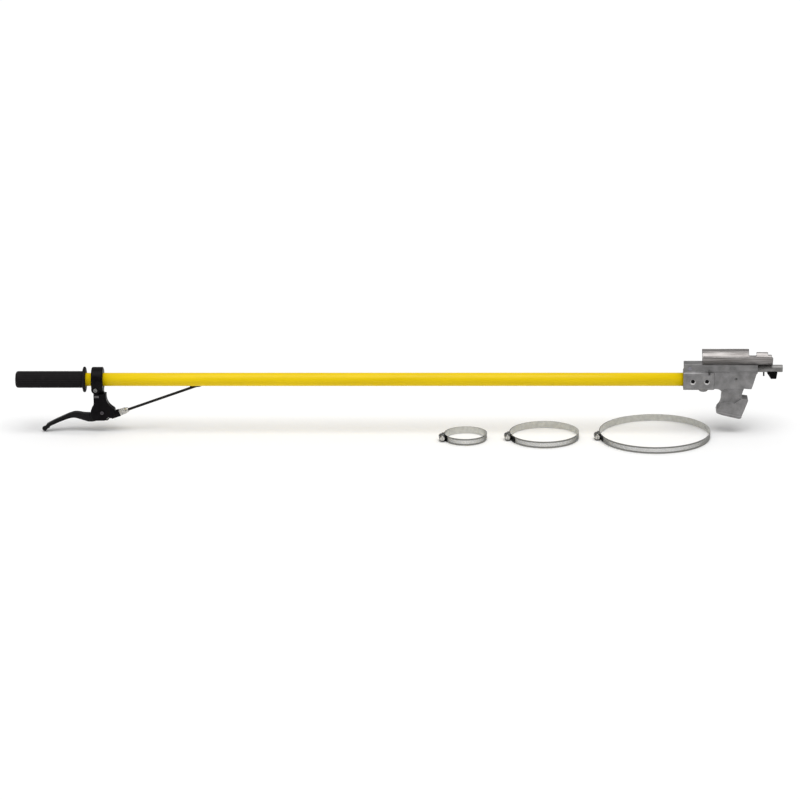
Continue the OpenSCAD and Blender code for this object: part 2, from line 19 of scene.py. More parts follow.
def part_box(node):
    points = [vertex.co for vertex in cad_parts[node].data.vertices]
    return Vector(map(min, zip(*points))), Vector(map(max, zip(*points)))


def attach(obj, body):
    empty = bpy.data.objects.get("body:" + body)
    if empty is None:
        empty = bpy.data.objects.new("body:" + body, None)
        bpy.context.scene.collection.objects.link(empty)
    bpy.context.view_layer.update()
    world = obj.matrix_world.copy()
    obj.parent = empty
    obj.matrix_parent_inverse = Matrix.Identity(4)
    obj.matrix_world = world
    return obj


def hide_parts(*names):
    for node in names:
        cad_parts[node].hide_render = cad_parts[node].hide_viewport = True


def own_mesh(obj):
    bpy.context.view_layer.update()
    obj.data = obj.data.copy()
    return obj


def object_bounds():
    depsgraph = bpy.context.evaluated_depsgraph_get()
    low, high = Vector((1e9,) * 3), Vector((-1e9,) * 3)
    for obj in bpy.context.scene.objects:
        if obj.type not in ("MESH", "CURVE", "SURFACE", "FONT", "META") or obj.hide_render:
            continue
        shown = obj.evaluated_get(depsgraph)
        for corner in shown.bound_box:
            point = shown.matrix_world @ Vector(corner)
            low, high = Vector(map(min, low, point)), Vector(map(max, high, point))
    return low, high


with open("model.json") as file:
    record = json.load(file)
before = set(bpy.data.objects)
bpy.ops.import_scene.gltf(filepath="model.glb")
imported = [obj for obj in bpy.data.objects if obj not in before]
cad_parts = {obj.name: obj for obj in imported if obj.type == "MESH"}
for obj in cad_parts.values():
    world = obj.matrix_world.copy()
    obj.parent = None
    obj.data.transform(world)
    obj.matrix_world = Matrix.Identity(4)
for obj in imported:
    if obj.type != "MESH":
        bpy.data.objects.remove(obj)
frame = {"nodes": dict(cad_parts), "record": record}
cad_low, cad_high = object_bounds()
print("CAD box", [round(v, 3) for v in cad_low], [round(v, 3) for v in cad_high])

# %% [markdown]
# ## Camera, floor and light
#
# A long thin object is best seen nearly square on, from a little above, with a long lens, so that
# both ends look the same size. The camera stands 7.5 m away, 17 degrees up and a little towards the
# head. It is turned to face the middle of the pole, and rolled so that the pole stays level: its
# up direction is square to both the pole and the line of sight. The floor is a big white sheet
# just under the loose clamps. The sky is bright overhead and dim near the horizon: bare metal then
# has something dark to reflect, and black paint stays black.

# %% Camera
ELEVATION = math.radians(17)
DISTANCE = 7.5
FRAME_WIDTH = 1.5225  # the width of the view at the aim point, in metres
EYE_X = 0.95

aim = Vector((0.6675, 0.0, -0.041))
eye = Vector((EYE_X, -DISTANCE * math.cos(ELEVATION), aim.z + DISTANCE * math.sin(ELEVATION)))
sight = (aim - eye).normalized()
upward = Vector((1, 0, 0)).cross(sight).normalized()
turn = Matrix((sight.cross(upward), upward, -sight)).transposed()
camera = bpy.data.objects.new("camera", bpy.data.cameras.new("camera"))
camera.data.lens = camera.data.sensor_width * (aim - eye).length / FRAME_WIDTH
camera.location = eye
camera.rotation_euler = turn.to_euler()
bpy.context.scene.collection.objects.link(camera)
bpy.context.scene.camera = camera
print("lens", round(camera.data.lens, 1), "mm")

# %% Floor and sky
FLOOR_DROP = 0.0004
FLOOR_REACH = 30
HORIZON, OVERHEAD = (0.10, 0.10, 0.105, 1), (1, 1, 1, 1)
SKY_STRENGTH = 0.7

floor_mesh = bpy.data.meshes.new("floor")
low = cad_low[2] - FLOOR_DROP
corners = [(-1, -1), (1, -1), (1, 1), (-1, 1)]
floor_mesh.from_pydata([(x * FLOOR_REACH, y * FLOOR_REACH, low) for x, y in corners],
                       [], [(0, 1, 2, 3)])
floor = bpy.data.objects.new("floor", floor_mesh)
bpy.context.scene.collection.objects.link(floor)

white = bpy.data.materials.new("white_sheet")
white.use_nodes = True
sheet = white.node_tree.nodes["Principled BSDF"]
sheet.inputs["Base Color"].default_value = (0.93, 0.93, 0.93, 1)
sheet.inputs["Roughness"].default_value = 0.9
sheet.inputs["Specular IOR Level"].default_value = 0.1
floor_mesh.materials.append(white)

world = bpy.data.worlds.new("sky")
world.use_nodes = True
bpy.context.scene.world = world
sky = world.node_tree
up = sky.nodes.new("ShaderNodeTexCoord")
split = sky.nodes.new("ShaderNodeSeparateXYZ")
ramp = sky.nodes.new("ShaderNodeValToRGB")
sky.links.new(up.outputs["Generated"], split.inputs[0])
sky.links.new(split.outputs["Z"], ramp.inputs["Fac"])
sky.links.new(ramp.outputs["Color"], sky.nodes["Background"].inputs["Color"])
ramp.color_ramp.elements[0].color = HORIZON
ramp.color_ramp.elements[1].color = OVERHEAD
ramp.color_ramp.elements[1].position = 0.9
sky.nodes["Background"].inputs["Strength"].default_value = SKY_STRENGTH

sun = bpy.data.objects.new("top_light", bpy.data.lights.new("top_light", "SUN"))
sun.data.energy = 1.95
sun.data.angle = math.radians(50)
sun.rotation_euler = (math.radians(17), math.radians(6), 0)
bpy.context.scene.collection.objects.link(sun)
bpy.context.scene.view_settings.view_transform = "Standard"
print("floor at", round(low, 4), "m")

# %% [markdown]
# ## Helpers
#
# A surface here is a grid of points worked out with numpy in one go. `grid_mesh` turns the grid
# into quads, and can join the last column to the first, so a tube is a grid that closes on itself.

# %% Grid surfaces
MERGE_DISTANCE = 2e-6


def new_piece(name, mesh):
    """Links a mesh as an object that sits at the origin."""
    piece = bpy.data.objects.new(name, mesh)
    bpy.context.scene.collection.objects.link(piece)
    return piece


def grid_mesh(name, points, closed=True, keep=None):
    """Quads over a grid of points (rows, columns, 3). A closed grid joins its last column to its
    first. keep is a mask of the cells to make; its other cells are left open."""
    rows, cols, _ = points.shape
    wide = cols if closed else cols - 1
    r, c = np.meshgrid(np.arange(rows - 1), np.arange(wide), indexing="ij")
    nxt = (c + 1) % cols
    quads = np.stack([r * cols + c, r * cols + nxt, (r + 1) * cols + nxt, (r + 1) * cols + c], -1)
    quads = quads.reshape(-1, 4) if keep is None else quads[keep]
    mesh = bpy.data.meshes.new(name)
    mesh.from_pydata(points.reshape(-1, 3).tolist(), [], quads.tolist())
    mesh.update()
    mesh.shade_smooth()
    return mesh


def outward(mesh):
    """Merges doubles and turns every face outwards."""
    work = bmesh.new()
    work.from_mesh(mesh)
    bmesh.ops.remove_doubles(work, verts=work.verts, dist=MERGE_DISTANCE)
    bmesh.ops.recalc_face_normals(work, faces=work.faces)
    work.to_mesh(mesh)
    work.free()
    mesh.shade_smooth()
    return mesh


def revolved(name, profile, around=96, wobble=None):
    """Turns a profile of (x, radius) points about the X axis: y = radius cos a, z = radius sin a.
    wobble(x, a) is taken off each radius, so that ribs can run along the piece."""
    a = np.linspace(0, 2 * np.pi, around, endpoint=False)
    x, r = (np.array(v)[:, None] for v in zip(*profile))
    radius = r - (wobble(x, a[None, :]) if wobble else 0)
    points = np.stack(np.broadcast_arrays(x, radius * np.cos(a), radius * np.sin(a)), -1)
    return new_piece(name, outward(grid_mesh(name, points)))


print("helpers ready")

# %% [markdown]
# ## Ways to make a piece
#
# Three ways cover the whole object. A round or drawn-out shape is a new numpy surface. A casting
# is a copy of its CAD node, rebuilt as an even grid of small quads and relaxed, because metal
# shrinks and is tumbled, and no corner of it is sharp. A screw, a nut or a plate is a copy with a
# bevel: a narrow bright line along an edge is what tells the eye that it is machined metal.

# %% Put a piece in place of its node
row_of = {row["node"]: row for row in frame["record"]["subparts"]}
bodies = frame["record"]["behaviour"]["bodies"]
body_with = {node: body for body, nodes in bodies.items() for node in nodes}


def stands_for(piece, node, finish):
    """The piece rides on its node's body, hides the node, and takes the given finish as its only
    material.
    """
    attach(piece, body_with[node])
    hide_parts(node)
    piece.data.materials.clear()
    piece.data.materials.append(finish)
    print(piece.name, "for", node, len(piece.data.polygons), "faces")
    return piece


# %% Softened copies
def baked(piece):
    """Swaps a piece's mesh for what its modifiers make of it."""
    bpy.context.view_layer.update()
    seen = piece.evaluated_get(bpy.context.evaluated_depsgraph_get())
    done, old = bpy.data.meshes.new_from_object(seen), piece.data
    piece.modifiers.clear()
    piece.data = done
    bpy.data.meshes.remove(old)
    done.shade_smooth()
    return piece


def merged_copy(node, name):
    """A copy of a CAD node's mesh with its doubles merged, as a new piece."""
    mesh = frame["nodes"][node].data.copy()
    mesh.name = name
    mesh.materials.clear()
    return new_piece(name, outward(mesh))


def softened(node, name, voxel, relax):
    """A copy rebuilt on a voxel grid, whose points then move relax times halfway to the middle of
    their neighbours."""
    piece = merged_copy(node, name)
    remesh = piece.modifiers.new("even_grid", "REMESH")
    remesh.mode = "VOXEL"
    remesh.voxel_size = voxel
    smooth = piece.modifiers.new("relax", "SMOOTH")
    smooth.factor = 0.5
    smooth.iterations = relax
    return baked(piece)


# %% Eased copies
FLAT_WITHIN, SHARP_FROM = math.radians(1.5), math.radians(35)


def eased(node, name, width=0.00025):
    """A copy with its flat faces made whole, and a bevel on each edge sharper than 35 degrees."""
    piece = merged_copy(node, name)
    work = bmesh.new()
    work.from_mesh(piece.data)
    bmesh.ops.dissolve_limit(work, angle_limit=FLAT_WITHIN, verts=work.verts, edges=work.edges)
    work.to_mesh(piece.data)
    work.free()
    bevel = piece.modifiers.new("ease", "BEVEL")
    bevel.width = width
    bevel.segments = 2
    bevel.limit_method = "ANGLE"
    bevel.angle_limit = SHARP_FROM
    bevel.use_clamp_overlap = True
    bevel.harden_normals = True
    piece.data.shade_smooth()
    return piece


print("three ways ready")

# %% [markdown]
# ## Finishes
#
# Each finish is one function that builds its own nodes. They read Object coordinates in metres, so
# a noise scale of 1000 gives grains of about a millimetre, the same size on every piece.

# %% Node helpers
def start_finish(name, color, rough, metal=0.0):
    """A material with its Principled shader and its Object coordinates ready."""
    mat = bpy.data.materials.new(name)
    mat.use_nodes = True
    tree = mat.node_tree
    shader = tree.nodes["Principled BSDF"]
    shader.inputs["Base Color"].default_value = (*color, 1)
    shader.inputs["Roughness"].default_value = rough
    shader.inputs["Metallic"].default_value = metal
    where = tree.nodes.new("ShaderNodeTexCoord").outputs["Object"]
    return mat, tree, shader, where


def noise(tree, where, scale, detail=4.0, stretch=(1, 1, 1), rough=0.55):
    """A noise field. stretch scales the coordinates first: (0.05, 1, 1) gives streaks along X."""
    if stretch != (1, 1, 1):
        mapping = tree.nodes.new("ShaderNodeMapping")
        mapping.inputs["Scale"].default_value = stretch
        tree.links.new(where, mapping.inputs["Vector"])
        where = mapping.outputs[0]
    tex = tree.nodes.new("ShaderNodeTexNoise")
    tex.inputs["Scale"].default_value = scale
    tex.inputs["Detail"].default_value = detail
    tex.inputs["Roughness"].default_value = rough
    tree.links.new(where, tex.inputs["Vector"])
    return tex.outputs["Fac"]


def spread(tree, field, low, high, from_low=0.3, from_high=0.7):
    """Maps a field's usual range onto low..high."""
    node = tree.nodes.new("ShaderNodeMapRange")
    node.inputs["From Min"].default_value = from_low
    node.inputs["From Max"].default_value = from_high
    node.inputs["To Min"].default_value = low
    node.inputs["To Max"].default_value = high
    tree.links.new(field, node.inputs["Value"])
    return node.outputs[0]


def blend_colors(tree, field, dark, light):
    """A colour that runs from dark to light with the field, from 0 to 1."""
    node = tree.nodes.new("ShaderNodeMix")
    node.data_type = "RGBA"
    node.inputs["A"].default_value = (*dark, 1)
    node.inputs["B"].default_value = (*light, 1)
    tree.links.new(field, node.inputs["Factor"])
    return node.outputs["Result"]


def bump(tree, shader, field, height, strength=1.0, under=None):
    """Raises the surface by height metres where the field is 1."""
    node = tree.nodes.new("ShaderNodeBump")
    node.inputs["Distance"].default_value = height
    node.inputs["Strength"].default_value = strength
    tree.links.new(field, node.inputs["Height"])
    if under:
        tree.links.new(under, node.inputs["Normal"])
    tree.links.new(node.outputs[0], shader.inputs["Normal"])
    return node.outputs[0]


print("node helpers ready")

# %% Yellow powder coat
def yellow_coat():
    """Thick glossy paint: a faint orange-peel ripple, and dull rubbed streaks along the pole."""
    mat, tree, shader, where = start_finish("yellow_coat", (0.80, 0.57, 0.006), 0.3)
    shader.inputs["Specular IOR Level"].default_value = 0.14
    rubbed = noise(tree, where, 90, 5, (0.06, 1, 1))
    tree.links.new(blend_colors(tree, spread(tree, rubbed, 0, 1), (0.76, 0.53, 0.002),
                                (0.86, 0.62, 0.004)), shader.inputs["Base Color"])
    tree.links.new(spread(tree, rubbed, 0.24, 0.42), shader.inputs["Roughness"])
    bump(tree, shader, noise(tree, where, 700, 2), 0.00004, 0.35)
    return mat


# %% Cast aluminium
def cast_metal(name="cast_metal", tint=(0.275, 0.27, 0.27), grain=1.0):
    """Dull tumbled casting: grey patches, a fine sandy grain and a few darker pits."""
    mat, tree, shader, where = start_finish(name, tint, 0.5, 0.85)
    patches = noise(tree, where, 60, 6)
    sand = noise(tree, where, 1500, 3)
    dark = tuple(0.72 * v for v in tint)
    light = tuple(1.22 * v for v in tint)
    tree.links.new(blend_colors(tree, spread(tree, patches, 0, 1), dark, light),
                   shader.inputs["Base Color"])
    tree.links.new(spread(tree, sand, 0.45, 0.7), shader.inputs["Roughness"])
    lumps = bump(tree, shader, noise(tree, where, 260, 4), 0.0003, 0.5 * grain)
    bump(tree, shader, sand, 0.00012, 0.6 * grain, lumps)
    return mat, tree, shader, where


# %% Bent plate
def drawn_plate():
    """Plate rolled along its length: long streaks of light and dark, a fine grain, a few stains."""
    mat, tree, shader, where = start_finish("drawn_plate", (0.33, 0.315, 0.30), 0.36, 0.95)
    streaks = noise(tree, where, 420, 5, (0.035, 1, 1))
    stains = noise(tree, where, 45, 6, (0.5, 1, 1))
    tree.links.new(blend_colors(tree, spread(tree, streaks, 0, 1, 0.35, 0.62), (0.14, 0.13, 0.126),
                                (0.32, 0.305, 0.298)), shader.inputs["Base Color"])
    tree.links.new(spread(tree, stains, 0.28, 0.5), shader.inputs["Roughness"])
    bump(tree, shader, streaks, 0.00025, 0.5)
    return mat


# %% Black finishes
def black_finish(name, color, rough, grain, height, gloss=0.5):
    """Paint, rubber or plastic: near black, with a grain of its own size and patchy sheen."""
    mat, tree, shader, where = start_finish(name, color, rough)
    shader.inputs["Specular IOR Level"].default_value = gloss
    patch = noise(tree, where, 120, 5)
    light = tuple(min(1, 1.9 * v + 0.002) for v in color)
    tree.links.new(blend_colors(tree, spread(tree, patch, 0, 1), color, light),
                   shader.inputs["Base Color"])
    tree.links.new(spread(tree, patch, rough - 0.07, rough + 0.1), shader.inputs["Roughness"])
    bump(tree, shader, noise(tree, where, grain, 3), height, 0.5)
    return mat, tree, shader, where


# %% Bright metals
def bright_metal(name, color, rough, streak=(1, 1, 1), scale=900):
    """Plated or rolled metal: fine streaks left by the tool, and cloudy changes of shine."""
    mat, tree, shader, where = start_finish(name, color, rough, 1.0)
    lines = noise(tree, where, scale, 4, streak)
    cloud = noise(tree, where, 160, 4)
    dark = tuple(0.8 * v for v in color)
    tree.links.new(blend_colors(tree, spread(tree, cloud, 0, 1), dark, color),
                   shader.inputs["Base Color"])
    tree.links.new(spread(tree, lines, rough - 0.08, rough + 0.12), shader.inputs["Roughness"])
    bump(tree, shader, lines, 0.00003, 0.35)
    return mat, tree, shader, where


# %% Sizes that several cells share
MM = 0.001
# Each clamp, in mm and degrees: its centre, its band's outside radius, and the directions in which
# its housing and the free end of its strip lie.
clamps = {"small": ((793, -53), 40.0, 188, 6), "medium": ((942, -44), 65.5, 187, 62),
          "large": ((1151, -38), 104.8, 186, 118)}

# %% Marks at one place
def near(tree, where, center, radius, soft):
    """1 inside a ball about center, falling to 0 over the soft distance outside it."""
    gap = tree.nodes.new("ShaderNodeVectorMath")
    gap.operation = "DISTANCE"
    gap.inputs[1].default_value = center
    tree.links.new(where, gap.inputs[0])
    return spread(tree, gap.outputs["Value"], 1, 0, radius, radius + soft)


def plate_at(tree, where, center, half):
    """1 inside a box: the largest of |x|, |y| and |z| from its center, each over its half size, is
    less than 1."""
    place = tree.nodes.new("ShaderNodeMapping")
    place.inputs["Location"].default_value = [-c / h for c, h in zip(center, half)]
    place.inputs["Scale"].default_value = [1 / h for h in half]
    size = tree.nodes.new("ShaderNodeVectorMath")
    size.operation = "ABSOLUTE"
    parts = tree.nodes.new("ShaderNodeSeparateXYZ")
    tree.links.new(where, place.inputs["Vector"])
    tree.links.new(place.outputs[0], size.inputs[0])
    tree.links.new(size.outputs[0], parts.inputs[0])
    largest = parts.outputs["X"]
    for other in (parts.outputs["Y"], parts.outputs["Z"]):
        step = tree.nodes.new("ShaderNodeMath")
        step.operation = "MAXIMUM"
        tree.links.new(largest, step.inputs[0])
        tree.links.new(other, step.inputs[1])
        largest = step.outputs[0]
    return spread(tree, largest, 1, 0, 0.95, 1.05)


def outer_face(tree, where, center, r_out):
    """1 on the outer face of a ring of outside radius r_out about a vertical line, 0 on the
    inner."""
    flat = tree.nodes.new("ShaderNodeVectorMath")
    flat.operation = "MULTIPLY"
    flat.inputs[1].default_value = (1, 1, 0)
    gap = tree.nodes.new("ShaderNodeVectorMath")
    gap.operation = "DISTANCE"
    gap.inputs[1].default_value = (center[0] * MM, center[1] * MM, 0)
    tree.links.new(where, flat.inputs[0])
    tree.links.new(flat.outputs[0], gap.inputs[0])
    return spread(tree, gap.outputs["Value"], 0, 1, (r_out - 0.45) * MM, (r_out - 0.25) * MM)


def tinted(tree, shader, field, color):
    """Lays a colour over what already feeds the shader's base colour, where the field is 1."""
    under = shader.inputs["Base Color"].links[0].from_socket
    node = tree.nodes.new("ShaderNodeMix")
    node.data_type = "RGBA"
    tree.links.new(field, node.inputs["Factor"])
    tree.links.new(under, node.inputs["A"])
    node.inputs["B"].default_value = (*color, 1)
    tree.links.new(node.outputs["Result"], shader.inputs["Base Color"])


# %% The finishes
finishes = {
    "pole_yellow": yellow_coat(),
    "cast_aluminium": cast_metal()[0],
    "black_rubber": black_finish("grip_rubber", (0.006, 0.005, 0.0055), 0.6, 1400, 0.00008, 0.1)[0],
    "black_paint": black_finish("lever_paint", (0.003, 0.0026, 0.003), 0.4, 1800, 0.00004, 0.15)[0],
    "sheath_plastic": black_finish("sheath_skin", (0.005, 0.005, 0.005), 0.4, 900, 0.00003, 0.2)[0],
    "finger_rubber": black_finish("finger_skin", (0.0015, 0.0015, 0.0015), 0.7, 1200, 0.00006,
                                  0.05)[0],
    "zinc_steel": bright_metal("zinc_steel", (0.24, 0.24, 0.235), 0.38)[0],
    "bright_zinc": bright_metal("bright_zinc", (0.62, 0.61, 0.58), 0.26)[0],
    "stainless_band": bright_metal("stainless_band", (0.50, 0.50, 0.48), 0.3, (1, 1, 14), 500)[0],
}
saddle_metal = drawn_plate()
rod_metal = cast_metal("rod_metal", (0.25, 0.245, 0.24), 1.8)[0]
dull_pivot = bright_metal("dull_pivot", (0.12, 0.11, 0.12), 0.45)[0]
rivet_metal = bright_metal("rivet_metal", (0.30, 0.29, 0.33), 0.4)[0]

# %% [markdown]
# Three finishes carry a mark. The bracket has a small pale plate on its neck, left blank here. The
# head has a painted highlight: a pale patch below each of its two side holes, where light catches
# their lower rims. The strips of the hose clamps carry painted shade: their outer face is darker
# than their inner, and a painted shadow blackens them beside their screws.

# %% Marked finishes
bracket_paint, tree, shader, where = black_finish("bracket_paint", (0.003, 0.0024, 0.003), 0.36,
                                                  1800, 0.00004, 0.05)
tinted(tree, shader, plate_at(tree, where, (0.0890, -0.0085, -0.0325), (0.0043, 0.001, 0.0021)),
       (0.17, 0.165, 0.17))

# Painted highlight: a pale patch just below each side hole of the head stands for light on the
# hole's lower rim.
SIDE_HOLES_X, HIGHLIGHT_DROP, HIGHLIGHT_REACH = (1.2227, 1.2493), 0.0011, 0.0046
side_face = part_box("head_casting")[0].y
head_metal, tree, shader, where = cast_metal("head_metal")
for x in SIDE_HOLES_X:
    tinted(tree, shader, near(tree, where, (x, side_face, -HIGHLIGHT_DROP), HIGHLIGHT_REACH, 0.0006),
           (0.70, 0.69, 0.68))

# Painted shade: the same steel is painted lighter on each strip's inner face and darker on its
# outer face.
LIT_INNER_STEEL, SHADED_OUTER_STEEL, PAINTED_SHADOW = (0.63, 0.63, 0.595), (0.207, 0.207, 0.197), (0.005, 0.005, 0.005)
strip_steel = {}
# Painted shadow: each strip is painted near black beside its screw, where the screw head and
# housing cast their shadow.
for size, shadow_spot, reach in [("small", (0.7585, -0.066, -0.096), 0.008),
                          ("medium", (0.8835, -0.070, -0.096), 0.010),
                          ("large", (1.0505, -0.066, -0.096), 0.009)]:
    strip_steel[size], tree, shader, where = bright_metal(size + "_strip_steel", LIT_INNER_STEEL, 0.34,
                                                          (1, 1, 14), 500)
    center, r_out = clamps[size][:2]
    tinted(tree, shader, outer_face(tree, where, center, r_out), SHADED_OUTER_STEEL)
    tinted(tree, shader, near(tree, where, shadow_spot, reach, 0.002), PAINTED_SHADOW)

for row in frame["record"]["subparts"]:
    node = frame["nodes"][row["node"]]
    node.data.materials.clear()
    node.data.materials.append(finishes[row["material_slot"]])
print(len(finishes), "finishes on", len(frame["nodes"]), "nodes")

# %% [markdown]
# ## The pole
#
# A drawn steel or aluminium tube, 25.4 mm across, is the plainest shape here, so its roundness
# must be perfect: one profile turned about the X axis, outside wall and inside wall in one go.

# %% Pole
POLE_R, POLE_BORE = 12.7 * MM, 10.7 * MM
EXTRA_RING = 0.3  # two extra rings, this far from the ends, so that no face is as long as the pole

foot_x, head_x = (corner.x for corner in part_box("pole_tube"))
pole_wall = [(foot_x, POLE_BORE), (foot_x, POLE_R), (foot_x + EXTRA_RING, POLE_R),
             (head_x - EXTRA_RING, POLE_R), (head_x, POLE_R), (head_x, POLE_BORE),
             (foot_x, POLE_BORE)]
stands_for(revolved("pole", pole_wall, 160), "pole_tube", finishes["pole_yellow"])

# %% [markdown]
# ## The grip
#
# Moulded rubber, pushed over the pole: a rounded blind end, grooves along its length for the
# fingers, and a guard flange. Its outline is a profile turned about the X axis; the grooves take a
# shallow round bite out of the radius, and fade out towards both ends as the mould does.

# %% Grip
GROOVES, BITE_R, BITE_OUT = 24, 1.5 * MM, 0.55 * MM
GRIP_R, FIRST_X, LAST_X = 16 * MM, -61 * MM, 63.6 * MM


def quarter(center, r, start, stop, n=9):
    """n points of an arc about center = (x, radius), from start to stop in degrees."""
    a = np.radians(np.linspace(start, stop, n))
    return list(zip(center[0] + r * np.cos(a), center[1] + r * np.sin(a)))


def finger_grooves(x, a):
    """Depth of a groove: a circle of radius BITE_R that sits BITE_OUT outside the rubber. It fades
    in over 7 mm at the blind end and out over 3 mm at the flange."""
    pitch = 2 * np.pi / GROOVES
    off = (np.mod(a + pitch / 2, pitch) - pitch / 2) * GRIP_R
    bite = np.sqrt(np.maximum(BITE_R ** 2 - off ** 2, 0)) - BITE_OUT
    fade = np.clip((x - FIRST_X) / (7 * MM), 0, 1) * np.clip((LAST_X - x) / (3 * MM), 0, 1)
    return np.maximum(bite, 0) * fade * fade * (3 - 2 * fade)


grip_outline = [(-65 * MM, 0), (-65 * MM, 6 * MM)]
grip_outline += quarter((-60 * MM, 11 * MM), 5 * MM, 180, 90)
grip_outline += [(x * MM, GRIP_R) for x in np.linspace(-59, 63.4, 42)]
grip_outline += quarter((65 * MM, 17 * MM), 1.2 * MM, 210, 180, 4)
grip_outline += [(64 * MM, 21 * MM)] + quarter((66.5 * MM, 22 * MM), 2.5 * MM, 180, 0, 17)
grip_outline += [(69 * MM, 13 * MM), (69 * MM, POLE_R), (-57.9 * MM, POLE_R), (-57.9 * MM, 0)]
stands_for(revolved("grip", grip_outline, 384, finger_grooves), "hand_grip",
           finishes["black_rubber"])

# %% [markdown]
# ## The lever and its bracket
#
# Bicycle parts, die cast and painted black. The bracket clamps round the pole with one bolt. Both
# are castings with soft edges, so both are softened copies; the bolts are eased copies.

# %% Lever, bracket and their screws
stands_for(softened("lever_bracket", "bracket", 0.55 * MM, 6), "lever_bracket", bracket_paint)
stands_for(softened("brake_lever", "lever", 0.45 * MM, 6), "brake_lever", finishes["black_paint"])
for node, name, finish in [("clamp_bolt", "bracket_bolt", finishes["zinc_steel"]),
                           ("lever_pivot_screw", "pivot_screw", dull_pivot),
                           ("lever_pivot_nut", "pivot_nut", dull_pivot),
                           ("wire_nipple", "nipple", finishes["zinc_steel"])]:
    stands_for(eased(node, name, 0.3 * MM), node, finish)

# %% [markdown]
# ## The cable and its adjuster
#
# The black sheath is stiff: it leaves the adjuster straight, dives into the pole, runs along it
# and rises to the rod in the head. It is a circle carried along a smooth path. The path passes
# through each given point, and its direction there runs from the point before to the point after.

# %% Sheath
def smooth_path(points, n):
    """A cubic through the points: between b and c, with a before and d after,
    (2b + (c-a) t + (2a-5b+4c-d) t^2 + (3b-a-3c+d) t^3) / 2."""
    p = np.vstack([points[:1], points, points[-1:]])
    a, b, c, d = p[:-3, None], p[1:-2, None], p[2:-1, None], p[3:, None]
    t = np.linspace(0, 1, n, endpoint=False)[None, :, None]
    run = (2 * b + (c - a) * t + (2 * a - 5 * b + 4 * c - d) * t ** 2
           + (3 * b - a - 3 * c + d) * t ** 3) / 2
    return np.vstack([run.reshape(-1, points.shape[1]), points[-1:]])


def tube(name, path, r, around=24, side=(0, 1, 0)):
    """A circle of radius r carried along a path: path + r (cos a u + sin a v), where u and v are
    square to the path. Its ends are closed by drawing the circle in to a point."""
    way = np.gradient(path, axis=0)
    way /= np.linalg.norm(way, axis=1, keepdims=True)
    u = np.cross(np.array(side, float), way)
    u /= np.linalg.norm(u, axis=1, keepdims=True)
    v = np.cross(way, u)
    a = np.linspace(0, 2 * np.pi, around, endpoint=False)[None, :, None]
    rings = path[:, None] + r * (np.cos(a) * u[:, None] + np.sin(a) * v[:, None])
    first, last = (np.repeat(path[[i]][:, None], around, 1) for i in (0, -1))
    return new_piece(name, outward(grid_mesh(name, np.concatenate([first, rings, last]))))


RISE = math.radians(19.6)
ARM, REACH, SEATED, STRAIGHT_RUN = 12.5, 48.3, 6.5, 146
SHEATH_R = 2.5 * MM

cable_way = np.array([math.cos(RISE), 0, math.sin(RISE)])
pivot = np.array([98.6, 0, -64.1])
foot = pivot + ARM * np.array([math.sin(RISE), 0, -math.cos(RISE)])
mouth = foot + REACH * cable_way

start = mouth - SEATED * cable_way
straight = start + np.linspace(0, STRAIGHT_RUN, 9)[:, None] * cable_way
bend = np.array([(300, -5.4), (318, 0), (345, 3), (420, 4), (700, 4), (1000, 4), (1180, 4.4),
                 (1225, 5.4), (1248, 6), (1260, 7.4), (1267.5, 11.6), (1274, 17), (1279.5, 20.6),
                 (1284.5, 21.5)])
bend = smooth_path(np.insert(bend, 1, 0, axis=1), 10)
route = np.vstack([straight, bend, [(1288.5, 0, 21.5)]]) * MM
stands_for(tube("sheath", route, SHEATH_R), "cable_sheath", finishes["sheath_plastic"])
print("sheath is", round(float(np.linalg.norm(np.diff(route, axis=0), axis=1).sum()), 3), "m long")

# %% [markdown]
# The adjuster is a small turned barrel. The hand turns it, so its rim is knurled: two sets of
# fine slanted grooves that cross and leave little diamonds. The lock nut behind it has straight
# grooves. Both are profiles turned about the cable's line.

# %% Adjuster and lock nut
def turned_on_cable(name, profile, around, wobble):
    """A profile of (along, radius) turned about the cable's line, with along measured in mm from
    the adjuster's mouth."""
    piece = revolved(name, [(t * MM, r * MM) for t, r in profile], around, wobble)
    points = np.array([v.co for v in piece.data.vertices])
    ahead, sideways = cable_way, np.array([0, 1.0, 0])
    upward = np.cross(ahead, sideways)
    placed = mouth * MM + points @ np.array([ahead, sideways, upward])
    piece.data.vertices.foreach_set("co", placed.ravel())
    piece.data.update()
    outward(piece.data)
    return piece


def diamond_knurl(x, a, low=-13.2 * MM, high=-6 * MM, count=22, depth=0.5 * MM):
    """Two slanted sets of grooves: the deeper of |sin| of (count/2)a plus and minus a multiple
    of x."""
    twist = 900 * (x - low)
    cross = np.minimum(np.abs(np.sin(count * a / 2 + twist)), np.abs(np.sin(count * a / 2 - twist)))
    inside = (x > low) & (x < high)
    return depth * (1 - np.minimum(cross * 2.2, 1)) * inside


def straight_knurl(x, a, count=20, depth=0.5 * MM):
    """Grooves along the nut: the top of a cosine, kept off the chamfers at both ends."""
    inside = (x > -17.2 * MM) & (x < -13.8 * MM)
    return depth * np.maximum(np.cos(count * a), 0) * inside


